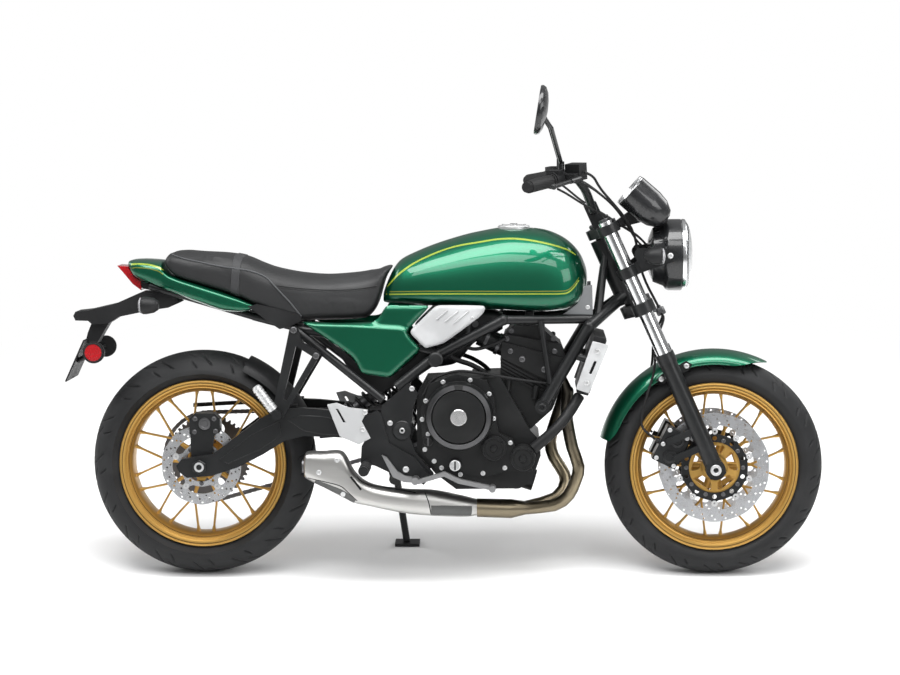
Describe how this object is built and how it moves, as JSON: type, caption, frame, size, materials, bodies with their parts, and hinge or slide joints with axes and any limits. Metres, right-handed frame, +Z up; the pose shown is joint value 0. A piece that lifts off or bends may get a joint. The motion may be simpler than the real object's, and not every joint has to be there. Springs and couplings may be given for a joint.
{
  "type": "standard motorcycle",
  "caption": "Standard motorcycle with round headlamp, tube frame, spoke-look cast wheels, chain drive and low muffler, parked leaning on its side stand.",
  "frame": {"origin": "middle of the box around the parked motorcycle, on the ground", "axes": "+X forward, +Y to the rider's left, +Z up; the motorcycle leans to +Y"},
  "size_m": [2.076, 0.8701, 1.3797],
  "materials": {
    "green_paint": "deep metallic green with clear coat",
    "black_paint": "satin black",
    "engine_black": "satin black cast finish",
    "black_plastic": "matte",
    "gloss_black": "gloss",
    "gold": "gold satin metallic",
    "tyre_rubber": "matte",
    "rubber": "matte",
    "disc_steel": "brushed",
    "dark_steel": "oiled",
    "chrome": "polished",
    "grey_plastic": "grey satin",
    "silver": "satin",
    "header_steel": "heat tinted",
    "seat_cover": "fine grained synthetic leather",
    "clear_lens": "clear",
    "red_lens": "gloss red",
    "mirror": "mirror"
  },
  "bodies": {
    "chassis": {"frame": "black_paint", "pivot_plates": "black_paint", "seat_rails": "black_paint", "crankcase": "engine_black", "cylinder_block": "engine_black", "engine_covers": "engine_black", "radiator": "black_plastic", "radiator_covers": "silver", "nose_trims": "grey_plastic", "fuel_tank": "green_paint", "seat": "seat_cover", "side_covers": "green_paint", "duct_covers": "silver", "tail_cowl": "green_paint", "rear_lamps": "red_lens", "plate_holder": "black_plastic", "rear_indicators": "black_plastic", "swingarm": "black_paint", "rear_axle": "silver", "rear_caliper": "black_paint", "drive_chain": "dark_steel", "rear_hugger": "black_plastic", "exhaust_headers": "header_steel", "muffler": "silver", "footrests": "black_paint", "heel_guards": "silver", "foot_controls": "silver", "rear_shock": "dark_steel"},
    "steering": {"fork_tubes": "chrome", "fork_legs": "black_paint", "upper_clamp": "black_paint", "lower_clamp": "black_paint", "handlebar": "black_paint", "grips": "rubber", "bar_controls": "black_plastic", "levers": "black_paint", "mirrors": "gloss_black", "mirror_glasses": "mirror", "headlamp_shell": "gloss_black", "headlamp_lens": "clear_lens", "headlamp_bracket": "black_paint", "front_indicators": "black_plastic", "meter_pods": "gloss_black", "front_mudguard": "green_paint", "front_calipers": "black_paint", "front_axle": "silver", "brake_hoses": "rubber"},
    "front_wheel": {"front_tyre": "tyre_rubber", "front_wheel_rim": "gold", "front_discs": "disc_steel"},
    "rear_wheel": {"rear_tyre": "tyre_rubber", "rear_wheel_rim": "gold", "rear_disc": "disc_steel", "rear_sprocket": "dark_steel"},
    "side_stand": {"side_stand": "black_paint"},
    "fuel_lid": {"fuel_lid": "silver"}
  },
  "joints": [
    {"name": "steering", "type": "hinge", "parent": "chassis", "child": "steering", "pos_m": [0.46755, -0.05598, 0.82563], "axis": [-0.4067, 0.1429, 0.9023], "range_deg": [-35, 35]},
    {"name": "front_wheel", "type": "hinge", "parent": "steering", "child": "front_wheel", "pos_m": [0.739, -0.13982, 0.2963], "axis": [0, 0.9877, -0.1564], "continuous": true},
    {"name": "rear_wheel", "type": "hinge", "parent": "chassis", "child": "rear_wheel", "pos_m": [-0.666, -0.13825, 0.30618], "axis": [0, 0.9877, -0.1564], "continuous": true},
    {"name": "side_stand", "type": "hinge", "parent": "chassis", "child": "side_stand", "pos_m": [-0.146, 0.00838, 0.22322], "axis": [0, 0.9816, 0.1908], "range_deg": [0, 97]},
    {"name": "fuel_lid", "type": "hinge", "parent": "chassis", "child": "fuel_lid", "pos_m": [0.244, -0.03829, 0.93731], "axis": [0, 0.9877, -0.1564], "range_deg": [0, 100]}
  ]
}
